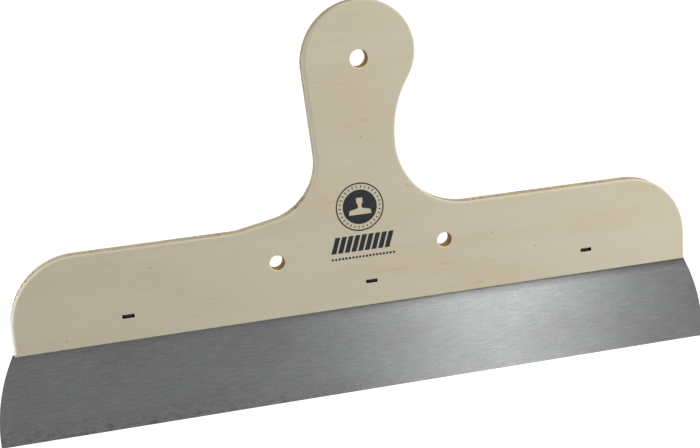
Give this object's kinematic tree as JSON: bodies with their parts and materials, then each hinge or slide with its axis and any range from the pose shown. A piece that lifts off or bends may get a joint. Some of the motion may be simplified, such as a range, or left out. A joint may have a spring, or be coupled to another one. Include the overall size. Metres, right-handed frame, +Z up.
{
  "type": "drywall filling knife",
  "caption": "Wide flat filling and smoothing knife: a thin spring steel blade stapled into the edge of a plywood handle board with a round grip and a hanging hole.",
  "frame": {"origin": "centre of the hanging hole, halfway through the board's thickness", "axes": "+X along the blade, towards the thumb hollow's side; +Y out of the back face; +Z up, from the working edge to the head of the grip"},
  "size_m": [0.5, 0.01, 0.2671],
  "materials": {
    "face_veneer": "sanded pale birch face veneer, unvarnished, grain along the blade",
    "inner_veneer": "raw birch veneer seen on its edge, grain along the blade",
    "crossband": "raw birch veneer seen on its edge, grain across the blade",
    "spring_steel": "cold rolled spring steel, finely brushed along its length",
    "staple_wire": "galvanised flattened wire"
  },
  "bodies": {
    "root": {"face_veneer_front": "face_veneer", "crossband_front": "crossband", "inner_veneer_front": "inner_veneer", "core_crossband": "crossband", "inner_veneer_back": "inner_veneer", "crossband_back": "crossband", "face_veneer_back": "face_veneer", "blade": "spring_steel", "staple_left": "staple_wire", "staple_middle": "staple_wire", "staple_right": "staple_wire"}
  },
  "joints": []
}
